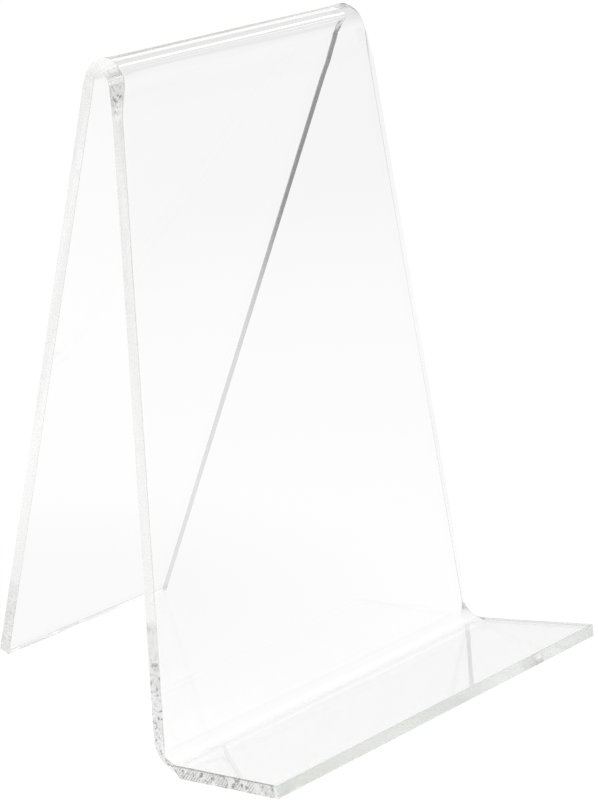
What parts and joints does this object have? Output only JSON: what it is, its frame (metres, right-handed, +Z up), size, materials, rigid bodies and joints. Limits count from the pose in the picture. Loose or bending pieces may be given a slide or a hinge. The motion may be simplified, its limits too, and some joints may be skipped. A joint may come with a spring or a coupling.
{
  "type": "photo album stand",
  "caption": "Clear acrylic stand bent from a tapered strip: a raised ledge carries a photo album, a leaning panel backs it and a folded rear leg props it up.",
  "frame": {"origin": "on the table, under the middle of the stand's box", "axes": "+X across the stand, the ledge points to -Y, +Z up"},
  "size_m": [0.127, 0.1198, 0.1631],
  "materials": {
    "clear_acrylic": "clear and glossy on the faces, fine cutter marks on the cut edges"
  },
  "bodies": {
    "root": {"ledge": "clear_acrylic", "heel_bend": "clear_acrylic", "front_panel": "clear_acrylic", "top_fold": "clear_acrylic", "rear_leg": "clear_acrylic"}
  },
  "joints": []
}
